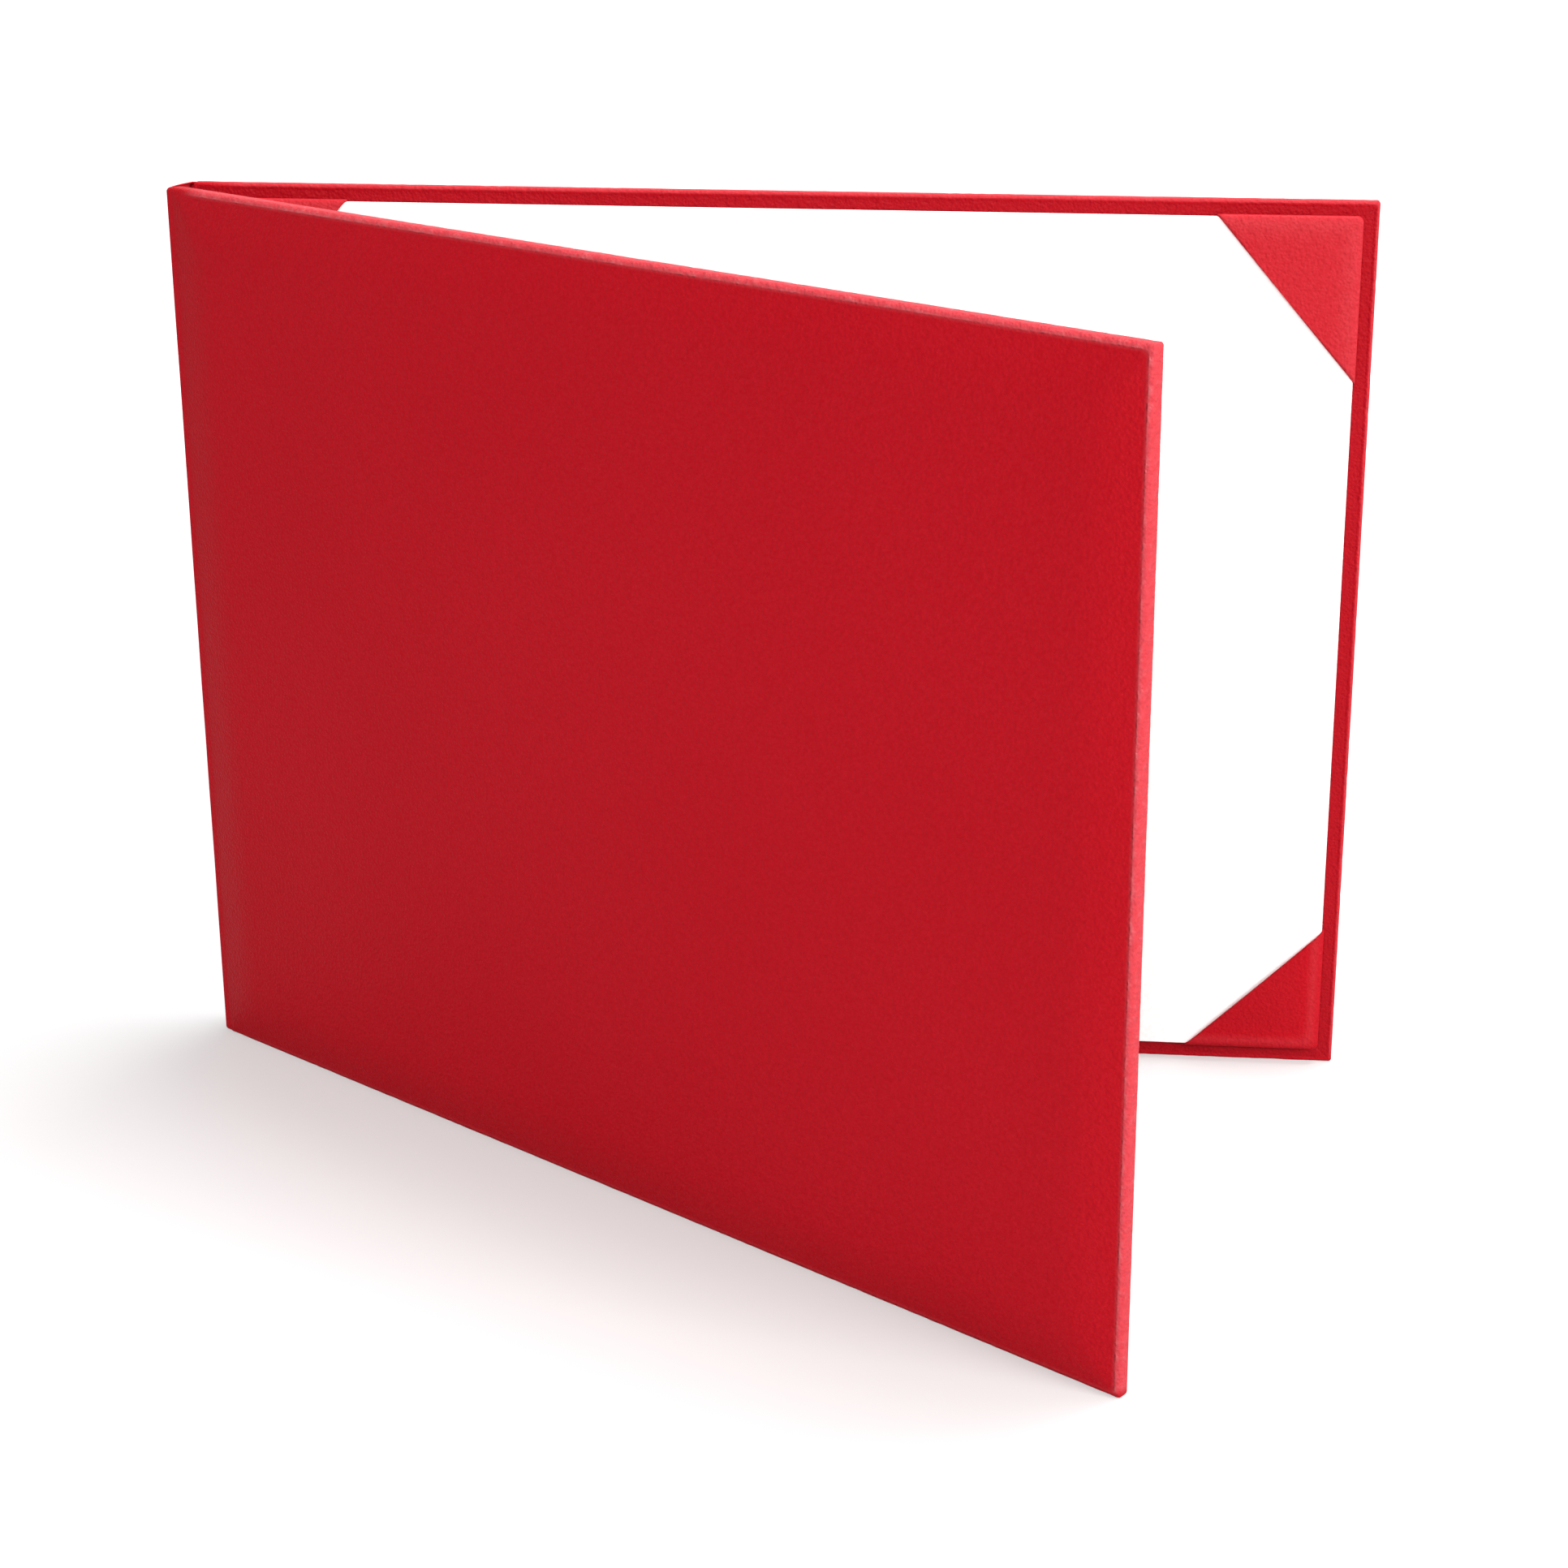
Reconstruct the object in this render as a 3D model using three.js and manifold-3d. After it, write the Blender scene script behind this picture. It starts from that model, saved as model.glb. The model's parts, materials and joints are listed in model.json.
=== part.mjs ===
// A padded landscape diploma cover that stands half open on its bottom edge.
// Two padded boards are wrapped in leatherette and meet at a soft spine. The back cover
// carries a white mounting card whose four corners are held in folded pockets.
// Millimetres, +Z up. +X runs along the back cover to its fore edge and +Y out of its back.
import * as THREE from "three";
import { mergeVertices } from "three/addons/utils/BufferGeometryUtils.js";
import Module from "manifold-3d";

// Driving dimensions
const coverWidth = 295; // hinge line to fore edge
const coverHeight = 228.6;
const openAngleDeg = 34.5; // between the two covers

const skin = 0.45; // leatherette
const glueLine = 0.1;
const boardThickness = 2;
const padEdgeThickness = 0.3; // foam crushed under the leatherette at the board's edge
const padRise = 2.1; // extra foam height in the middle of the cover
const padRun = 15; // how far in from the edge the foam reaches its full height
const turnInWidth = 16; // leatherette folded over on to the inside of the board

const innerEdgeRound = 0.6;
const outerEdgeRound = 1.2;
const leastEdgeRound = 0.2; // on the layers inside the leatherette
const cornerRadius = 1.4; // a cover's corner, seen from the front
const cornerSoftening = 0.35; // how fast the corner radius grows towards the middle of the pad
const seamWidth = 0.25; // mitre seam of the turn-ins at each corner
const seamDepth = 0.2;

const jointGap = 1.3; // hinge line to the board's hinge edge
const foldGap = 0.35; // hinge line to the leatherette on each side of it
const tongueSink = 0.05; // step from the cover's outer face down to its hinge tongue
const tongueLap = 0.9; // how far the tongue runs in under the cover's outer edge
const closingClearance = 0.6; // between the two inside faces of the closed cover
const spineBow = 0.6; // how far the spine bulges outwards
const spineInset = 0.5; // spine ends, below the head and above the tail
const liningThickness = 0.35; // strip glued inside the spine
const liningSetback = 1.4; // its long edges, from the hinge lines

const sideRim = 4.5; // cover edge left bare beside the inside panels
const headRim = 4;
const tailRim = 4.8;
const mountCardThickness = 1.2;
const liningCardThickness = 1;
const panelCornerRadius = 1.2;

const pocketSlot = 0.3; // room for a sheet between card and pocket
const pocketWidth = 35; // pocket legs along the card's long edges
const headPocketHeight = 41; // and along its short edges
const tailPocketHeight = 34;
const pocketFlap = 12; // pocket leatherette glued behind the card
const pocketEdgeRound = 0.7;

const arcSteps = 4;
const crownSteps = 5;
const bowSteps = 8;
const overshoot = 1; // how far a cutting shape reaches past what it cuts
const weldDistance = 1e-4;

// Sizes that follow from them
const packGap = skin + glueLine; // outer face of a cover to the board or foam inside it
const edgeThickness = 2 * skin + 3 * glueLine + boardThickness + padEdgeThickness;
const hingeDepth = edgeThickness - tongueSink - skin / 2; // inside face of a cover to its hinge line
const cardBack = 2 * glueLine + skin; // inside face of a cover to the back of the card
const cardFront = cardBack + mountCardThickness;
const pocketFront = cardFront + pocketSlot + skin;
const liningFront = glueLine + liningCardThickness;
const spineWidth = 2 * hingeDepth + pocketFront + liningFront + closingClearance;
const halfOpening = THREE.MathUtils.degToRad(openAngleDeg / 2);

const boardOutline = { left: jointGap, right: coverWidth, bottom: 0, top: coverHeight };
const panelOutline = {
  left: jointGap + sideRim,
  right: coverWidth - sideRim,
  bottom: tailRim,
  top: coverHeight - headRim,
};
const turnedPanelOutline = { ...panelOutline, bottom: headRim, top: coverHeight - tailRim };

const red = 0xb31b27;
const leatherette = new THREE.MeshStandardMaterial({ color: red, roughness: 0.55, metalness: 0 });
const liningPaper = new THREE.MeshStandardMaterial({ color: 0xa51824, roughness: 0.7, metalness: 0 });
const greyboard = new THREE.MeshStandardMaterial({ color: 0x9a948a, roughness: 0.9, metalness: 0 });
const foam = new THREE.MeshStandardMaterial({ color: 0xeeeae0, roughness: 0.95, metalness: 0 });
const whiteCard = new THREE.MeshStandardMaterial({ color: 0xfcfcf8, roughness: 0.6, metalness: 0 });

const wasm = await Module();
wasm.setup();

// Solids and meshes

function solidOf(geometry) {
  const bare = geometry.clone();
  bare.deleteAttribute("normal");
  bare.deleteAttribute("uv");
  const merged = mergeVertices(bare, weldDistance);
  return new wasm.Manifold(
    new wasm.Mesh({
      numProp: 3,
      vertProperties: new Float32Array(merged.attributes.position.array),
      triVerts: new Uint32Array(merged.index.array),
    }),
  );
}

function meshOf(solid, name, material) {
  const made = solid.getMesh();
  const positions = new Float32Array(made.numVert * 3);
  for (let i = 0; i < made.numVert; i++) {
    positions.set(made.vertProperties.subarray(i * made.numProp, i * made.numProp + 3), i * 3);
  }
  const geometry = new THREE.BufferGeometry();
  geometry.setAttribute("position", new THREE.BufferAttribute(positions, 3));
  geometry.setIndex(new THREE.BufferAttribute(new Uint32Array(made.triVerts), 1));
  geometry.computeVertexNormals();
  const mesh = new THREE.Mesh(geometry, material);
  mesh.name = name;
  return mesh;
}

// Outlines lie in the plane of a cover, with x along it and y standing for the height.

function grown(outline, by) {
  return {
    left: outline.left - by,
    right: outline.right + by,
    bottom: outline.bottom - by,
    top: outline.top + by,
  };
}

function roundedPoints({ left, right, bottom, top }, radius) {
  const corners = [
    [right - radius, bottom + radius, -0.5],
    [right - radius, top - radius, 0],
    [left + radius, top - radius, 0.5],
    [left + radius, bottom + radius, 1],
  ];
  return corners.flatMap(([x, y, start]) =>
    Array.from({ length: arcSteps + 1 }, (_, i) => {
      const angle = (start + (0.5 * i) / arcSteps) * Math.PI;
      return new THREE.Vector2(x + radius * Math.cos(angle), y + radius * Math.sin(angle));
    }),
  );
}

// Sets a flat shape upright in the plane of a cover, from depth `near` to depth `far` along +Y.
function upright(shape, near, far) {
  const geometry = new THREE.ExtrudeGeometry(shape, { depth: far - near, bevelEnabled: false });
  return solidOf(geometry.rotateX(Math.PI / 2).translate(0, far, 0));
}

function plate(outline, radius, near, far) {
  return upright(new THREE.Shape(roundedPoints(outline, radius)), near, far);
}

function block(outline, near, far) {
  const width = outline.right - outline.left;
  const height = outline.top - outline.bottom;
  const geometry = new THREE.BoxGeometry(width, far - near, height);
  geometry.translate(outline.left + width / 2, (near + far) / 2, outline.bottom + height / 2);
  return solidOf(geometry);
}

// A slab skinned over a stack of rings. Each ring is the outline drawn in by `inset` at `depth`.
function ringedSlab(outline, radius, rings) {
  const loops = rings.map(({ inset, depth }) =>
    roundedPoints(grown(outline, -inset), radius + cornerSoftening * inset).map(
      (p) => new THREE.Vector3(p.x, depth, p.y),
    ),
  );
  const count = loops[0].length;
  const positions = loops.flat().flatMap((p) => [p.x, p.y, p.z]);
  const index = [];
  for (let ring = 0; ring + 1 < loops.length; ring++) {
    for (let i = 0; i < count; i++) {
      const near = ring * count + i;
      const nearNext = ring * count + ((i + 1) % count);
      index.push(near, near + count, nearNext, nearNext, near + count, nearNext + count);
    }
  }
  const last = (loops.length - 1) * count;
  for (let i = 1; i + 1 < count; i++) {
    index.push(0, i, i + 1, last, last + i + 1, last + i);
  }
  const geometry = new THREE.BufferGeometry();
  geometry.setAttribute("position", new THREE.Float32BufferAttribute(positions, 3));
  geometry.setIndex(index);
  return solidOf(geometry);
}

function quarterTurn(radius, ring) {
  return Array.from({ length: arcSteps + 1 }, (_, i) => ring((0.5 * Math.PI * i) / arcSteps, radius));
}

// The padded cover's outer form, drawn in on every side by `offset`.
function paddedForm(offset) {
  const inner = Math.max(innerEdgeRound - offset, leastEdgeRound);
  const outer = Math.max(outerEdgeRound - offset, leastEdgeRound);
  const crownStart = offset + outer;
  const crownDepth = edgeThickness - offset;
  const rings = [
    ...quarterTurn(inner, (angle, r) => ({
      inset: offset + r * (1 - Math.sin(angle)),
      depth: offset + r * (1 - Math.cos(angle)),
    })),
    ...quarterTurn(outer, (angle, r) => ({
      inset: offset + r * (1 - Math.cos(angle)),
      depth: crownDepth - r * (1 - Math.sin(angle)),
    })),
    ...Array.from({ length: crownSteps }, (_, i) => {
      const share = (i + 1) / crownSteps;
      return {
        inset: crownStart + padRun * share,
        depth: crownDepth + padRise * Math.sin(0.5 * Math.PI * share),
      };
    }),
  ];
  return ringedSlab(boardOutline, cornerRadius, rings);
}

// Pieces that both covers have

function makeBoard() {
  return plate(grown(boardOutline, -packGap), cornerRadius, packGap, packGap + boardThickness);
}

function makePad() {
  const padBack = packGap + boardThickness + glueLine;
  const below = block(grown(boardOutline, overshoot), -overshoot, padBack);
  return paddedForm(packGap).subtract(below);
}

// Leatherette skin: closed on the outside and folded in all round, with its corners mitred
function makeWrap() {
  const window = block(grown(boardOutline, -turnInWidth), -overshoot, packGap + glueLine);
  const tongue = block(
    {
      left: foldGap,
      right: jointGap + tongueLap,
      bottom: outerEdgeRound,
      top: coverHeight - outerEdgeRound,
    },
    edgeThickness - tongueSink - skin,
    edgeThickness - tongueSink,
  );
  const shell = paddedForm(0).subtract(paddedForm(skin)).add(tongue).subtract(window);
  return turnInSeams().reduce((wrap, seam) => wrap.subtract(seam), shell);
}

function turnInSeams() {
  const { left, right, bottom, top } = boardOutline;
  const length = turnInWidth * Math.SQRT2 + seamWidth;
  const seamOf = (x, z, angle) => {
    const geometry = new THREE.BoxGeometry(length, 2 * seamDepth, seamWidth);
    geometry.translate(length / 2, 0, 0).rotateY(-angle).translate(x, 0, z);
    return solidOf(geometry);
  };
  return [
    seamOf(right, bottom, 0.75 * Math.PI),
    seamOf(right, top, 1.25 * Math.PI),
    seamOf(left, bottom, 0.25 * Math.PI),
    seamOf(left, top, 1.75 * Math.PI),
  ];
}

// Inside panels. A cover's inside lies on the -Y side of its inner face. The lining is drawn
// head down, because the front cover is turned over when it is put in place.

function makeMountCard() {
  return plate(panelOutline, panelCornerRadius, -cardFront, -cardBack);
}

function makeLiningCard() {
  return plate(turnedPanelOutline, panelCornerRadius, -liningFront, -glueLine);
}

// A leatherette corner folded round the mounting card, open along its long side
function makePocket(atHead, atHinge) {
  const { left, right, bottom, top } = panelOutline;
  const foldRoom = 2 * skin; // the triangle also takes in the fold round the card's edge
  const cornerX = atHinge ? left - foldRoom : right + foldRoom;
  const cornerZ = atHead ? top + foldRoom : bottom - foldRoom;
  const acrossX = atHinge ? 1 : -1;
  const acrossZ = atHead ? -1 : 1;
  const legX = pocketWidth + foldRoom;
  const legZ = (atHead ? headPocketHeight : tailPocketHeight) + foldRoom;
  const triangle = new THREE.Shape([
    new THREE.Vector2(cornerX, cornerZ),
    new THREE.Vector2(cornerX + acrossX * legX, cornerZ),
    new THREE.Vector2(cornerX, cornerZ + acrossZ * legZ),
  ]);
  const folded = ringedSlab(grown(panelOutline, packGap), panelCornerRadius + packGap, [
    ...quarterTurn(pocketEdgeRound, (angle, r) => ({
      inset: r * (1 - Math.sin(angle)),
      depth: -pocketFront + r * (1 - Math.cos(angle)),
    })),
    { inset: 0, depth: -glueLine },
  ]);
  const sheetRoom = plate(
    grown(panelOutline, glueLine),
    panelCornerRadius + glueLine,
    -cardFront - pocketSlot,
    -cardBack + glueLine,
  );
  const behindCard = block(grown(panelOutline, -pocketFlap), -cardBack, 0);
  return folded
    .intersect(upright(triangle, -pocketFront - overshoot, 0))
    .subtract(sheetRoom)
    .subtract(behindCard);
}

// Spine strips, drawn in plan for the closed cover: hinge lines at y = 0 and y = -spineWidth,
// outside towards -X

function bowedStrip(setback, outerFace, innerFace, endInset) {
  const bowAt = (y) => -spineBow * Math.sin((Math.PI * -y) / spineWidth);
  const length = spineWidth - 2 * setback;
  const stations = Array.from({ length: bowSteps + 1 }, (_, i) => -setback - (length * i) / bowSteps);
  const outer = stations.map((y) => new THREE.Vector2(outerFace + bowAt(y), y));
  const inner = stations.map((y) => new THREE.Vector2(innerFace + bowAt(y), y)).reverse();
  const geometry = new THREE.ExtrudeGeometry(new THREE.Shape([...outer, ...inner]), {
    depth: coverHeight - 2 * endInset,
    bevelEnabled: false,
  });
  return solidOf(geometry.translate(0, 0, endInset));
}

function makeSpineWrap() {
  return bowedStrip(foldGap, -skin / 2, skin / 2, spineInset);
}

function makeSpineLining() {
  const outerFace = skin / 2 + glueLine;
  return bowedStrip(liningSetback, outerFace, outerFace + liningThickness, spineInset);
}

// The assembly

const backCover = new THREE.Group();
backCover.add(
  meshOf(makeBoard(), "back_board", greyboard),
  meshOf(makePad(), "back_pad", foam),
  meshOf(makeWrap(), "back_wrap", leatherette),
  meshOf(makeMountCard(), "mount_card", whiteCard),
  meshOf(makePocket(true, true), "pocket_head_hinge", leatherette),
  meshOf(makePocket(true, false), "pocket_head_fore", leatherette),
  meshOf(makePocket(false, true), "pocket_tail_hinge", leatherette),
  meshOf(makePocket(false, false), "pocket_tail_fore", leatherette),
);

// The front cover is the same build turned over about its length, so its inside faces the back
const frontPieces = new THREE.Group();
frontPieces.rotation.x = Math.PI;
frontPieces.position.set(0, hingeDepth, coverHeight);
frontPieces.add(
  meshOf(makeBoard(), "front_board", greyboard),
  meshOf(makePad(), "front_pad", foam),
  meshOf(makeWrap(), "front_wrap", leatherette),
  meshOf(makeLiningCard(), "front_lining", liningPaper),
);

const frontCover = new THREE.Group();
frontCover.position.y = -spineWidth;
frontCover.rotation.z = -halfOpening;
frontCover.add(frontPieces);

const spine = new THREE.Group();
spine.position.y = hingeDepth;
spine.rotation.z = -halfOpening;
spine.add(
  meshOf(makeSpineWrap(), "spine_wrap", leatherette),
  meshOf(makeSpineLining(), "spine_lining", liningPaper),
  frontCover,
);

// The origin is the middle of the standing cover's box, at the height of its bottom edge
const diplomaCover = new THREE.Group();
diplomaCover.add(backCover, spine);
diplomaCover.updateMatrixWorld(true);
const box = new THREE.Box3().setFromObject(diplomaCover, true);
diplomaCover.position.set(-(box.min.x + box.max.x) / 2, -(box.min.y + box.max.y) / 2, -box.min.z);

export default diplomaCover;
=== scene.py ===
"""A red padded diploma cover that stands half open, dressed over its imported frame.

Lengths are in metres and in the frame's own axes: +Z up the hinge, +X along the back cover to its
fore edge, +Y out of the back cover's outside. A cover is described by three local measures: `along`
from the hinge line to the fore edge, `out` from the hinge line out of the outside face, and height.
"""

import json
import logging
import math
from dataclasses import dataclass
from enum import Enum

import bpy
from mathutils import Matrix, Vector, noise


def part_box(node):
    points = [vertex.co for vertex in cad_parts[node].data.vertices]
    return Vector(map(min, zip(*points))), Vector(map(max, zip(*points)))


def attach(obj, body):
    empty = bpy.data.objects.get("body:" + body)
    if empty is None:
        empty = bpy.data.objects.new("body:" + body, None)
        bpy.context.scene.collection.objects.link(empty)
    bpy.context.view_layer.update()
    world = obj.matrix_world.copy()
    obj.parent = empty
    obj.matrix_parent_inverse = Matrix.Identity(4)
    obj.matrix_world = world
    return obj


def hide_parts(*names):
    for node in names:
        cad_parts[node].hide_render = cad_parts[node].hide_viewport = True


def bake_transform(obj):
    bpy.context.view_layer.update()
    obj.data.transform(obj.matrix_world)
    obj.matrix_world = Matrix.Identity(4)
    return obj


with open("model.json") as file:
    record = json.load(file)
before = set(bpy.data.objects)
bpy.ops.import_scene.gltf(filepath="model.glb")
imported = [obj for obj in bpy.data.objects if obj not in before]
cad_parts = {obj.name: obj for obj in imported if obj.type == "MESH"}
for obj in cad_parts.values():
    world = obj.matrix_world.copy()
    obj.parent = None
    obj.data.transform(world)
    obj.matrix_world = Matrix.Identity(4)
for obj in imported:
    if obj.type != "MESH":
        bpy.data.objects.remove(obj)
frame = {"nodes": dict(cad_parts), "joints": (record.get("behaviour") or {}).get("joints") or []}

Pair = tuple[float, float]
Colour = tuple[float, float, float]
Face = tuple[int, ...]
Socket = bpy.types.NodeSocket

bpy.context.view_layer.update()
MM = 0.001
QUARTER = math.pi / 2.0
UP = Vector((0.0, 0.0, 1.0))
# Name of the per-vertex mask of painted light: above 0 a painted highlight, below 0 painted shade.
PAINTED_LIGHT = "painted_light"

log = logging.getLogger("diploma_cover")


class Side(Enum):
    """The two covers, by the name of the body that each rides on."""

    BACK = "back_cover"
    FRONT = "front_cover"


class Zone(Enum):
    """Where a ring of a padded cover's leatherette lies."""

    TURN_IN = "inside"
    EDGE = "edge"
    FACE = "outside"


SWELL_SEEDS = {Side.FRONT: 1.0, Side.BACK: 5.0}
# Painted highlight on the covers' edges, half as strong on the back cover, whose edges get less light.
EDGE_HIGHLIGHT = {Side.FRONT: 1.0, Side.BACK: 0.5}
# Painted light on the pockets: a highlight on the lit head pockets; painted shade on the shaded tail pockets'
# faces, with a little highlight at their folds.
HEAD_POCKET_HIGHLIGHT = (0.3, 0.6)
TAIL_POCKET_SHADE_AND_HIGHLIGHT = (-0.3, 0.3)


@dataclass(frozen=True)
class Rect:
    """An upright rectangle in the plane of a cover."""

    left: float
    right: float
    bottom: float
    top: float
    widest_round: float = 0.49

    def drawn_in(self, inset: float) -> "Rect":
        """The same rectangle with every side moved inwards."""
        return Rect(self.left + inset, self.right - inset, self.bottom + inset, self.top - inset)

    def largest_radius(self) -> float:
        """The corner radius at which the short sides all but vanish."""
        return self.widest_round * min(self.right - self.left, self.top - self.bottom)


@dataclass(frozen=True)
class CoverPlane:
    """Where one cover stands.

    Attributes:
        side: Which cover it is.
        foot: The hinge line at height zero.
        along: Unit direction from the hinge line to the fore edge.
        out: Unit direction out of the outside face.
    """

    side: Side
    foot: Vector
    along: Vector
    out: Vector

    @property
    def word(self) -> str:
        """The cover's side as it stands in the names of its pieces."""
        return self.side.value.split("_")[0]

    def place(self, along: float, out: float, height: float) -> Vector:
        """Turns a cover's local measures into a point of the frame."""
        return self.foot + self.along * along + self.out * out + UP * height


def joint_point(name: str) -> Vector:
    """Finds the foot of a hinge line.

    Args:
        name: The joint's name in the frame.

    Returns:
        The joint's point, at height zero.
    """
    joint = next(j for j in frame["joints"] if j["name"] == name)
    x, y, _ = joint["pos_m"]
    return Vector((x, y, 0.0))


def cover_planes() -> dict[Side, CoverPlane]:
    """Works out how both covers stand from their two hinge lines.

    Returns:
        The plane of each cover.
    """
    back_foot = joint_point("spine_hinge")
    front_foot = joint_point("front_hinge")
    across = front_foot - back_foot
    opening = 2.0 * math.atan2(-across.x, -across.y)
    along = Vector((math.cos(opening), -math.sin(opening), 0.0))
    out = Vector((-math.sin(opening), -math.cos(opening), 0.0))
    return {
        Side.BACK: CoverPlane(Side.BACK, back_foot, Vector((1.0, 0.0, 0.0)), Vector((0.0, 1.0, 0.0))),
        Side.FRONT: CoverPlane(Side.FRONT, front_foot, along, out),
    }


def link_mesh(
    name: str, points: list[Vector], faces: list[Face], painted_light: list[float] | None = None
) -> bpy.types.Object:
    """Makes an object with a smooth-shaded mesh.

    Args:
        name: The piece's name.
        points: Vertices in the frame.
        faces: Vertex indices of each face.
        painted_light: Painted light at each vertex, a painted highlight above 0 and painted shade below 0.

    Returns:
        The new object, linked to the scene.
    """
    mesh = bpy.data.meshes.new(name)
    mesh.from_pydata([tuple(p) for p in points], [], faces)
    if painted_light is not None:
        mesh.attributes.new(PAINTED_LIGHT, "FLOAT", "POINT").data.foreach_set("value", painted_light)
    mesh.validate()
    mesh.polygons.foreach_set("use_smooth", [True] * len(mesh.polygons))
    piece = bpy.data.objects.new(name, mesh)
    bpy.context.scene.collection.objects.link(piece)
    return piece


def skin_rings(
    rings: list[list[Vector]], closed: bool, capped: bool
) -> tuple[list[Vector], list[Face]]:
    """Joins rings of equal length with quads.

    Args:
        rings: Rows of points, in order.
        closed: Whether each row runs round to its start.
        capped: Whether the last row is filled with one face.

    Returns:
        The vertices and the faces.
    """
    count = len(rings[0])
    points = [p for ring in rings for p in ring]
    steps = count if closed else count - 1
    faces: list[Face] = []
    for row in range(len(rings) - 1):
        for i in range(steps):
            near = row * count + i
            near_next = row * count + (i + 1) % count
            faces.append((near, near_next, near_next + count, near + count))
    if capped:
        last = (len(rings) - 1) * count
        faces.append(tuple(range(last, last + count)))
    return points, faces


def quarter_turn(steps: int) -> list[Pair]:
    """Distances of points on a unit quarter circle from the two walls that it rounds off."""
    angles = [QUARTER * i / steps for i in range(steps + 1)]
    return [(1.0 - math.cos(angle), 1.0 - math.sin(angle)) for angle in angles]


def risen(value: float, start: float, run: float) -> float:
    """The share, from 0 to 1, that a value has come along a run from its start."""
    return min(1.0, max(0.0, (value - start) / run))


def face_towards(piece: bpy.types.Object, direction: Vector) -> None:
    """Turns the faces of an open skin so that most of its area looks along a direction.

    Args:
        piece: The skin.
        direction: The direction.
    """
    total = sum((p.normal * p.area for p in piece.data.polygons), Vector())
    if total.dot(direction) < 0.0:
        piece.data.flip_normals()


def thicken(piece: bpy.types.Object, thickness: float, offset: float) -> None:
    """Gives an open skin its real thickness and keeps the result as plain mesh.

    Args:
        piece: The skin.
        thickness: Thickness of the leatherette.
        offset: -1 to grow behind the faces, 0 to grow both ways.
    """
    solidify = piece.modifiers.new("thickness", "SOLIDIFY")
    solidify.thickness = thickness
    solidify.offset = offset
    graph = bpy.context.evaluated_depsgraph_get()
    solid = bpy.data.meshes.new_from_object(piece.evaluated_get(graph))
    piece.modifiers.clear()
    piece.data = solid


def ripple(point: Vector, wavelength: float, height: float) -> float:
    """A smooth, repeatable unevenness of one wavelength and greatest height, read at a point."""
    return height * noise.noise(point / wavelength)


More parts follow.
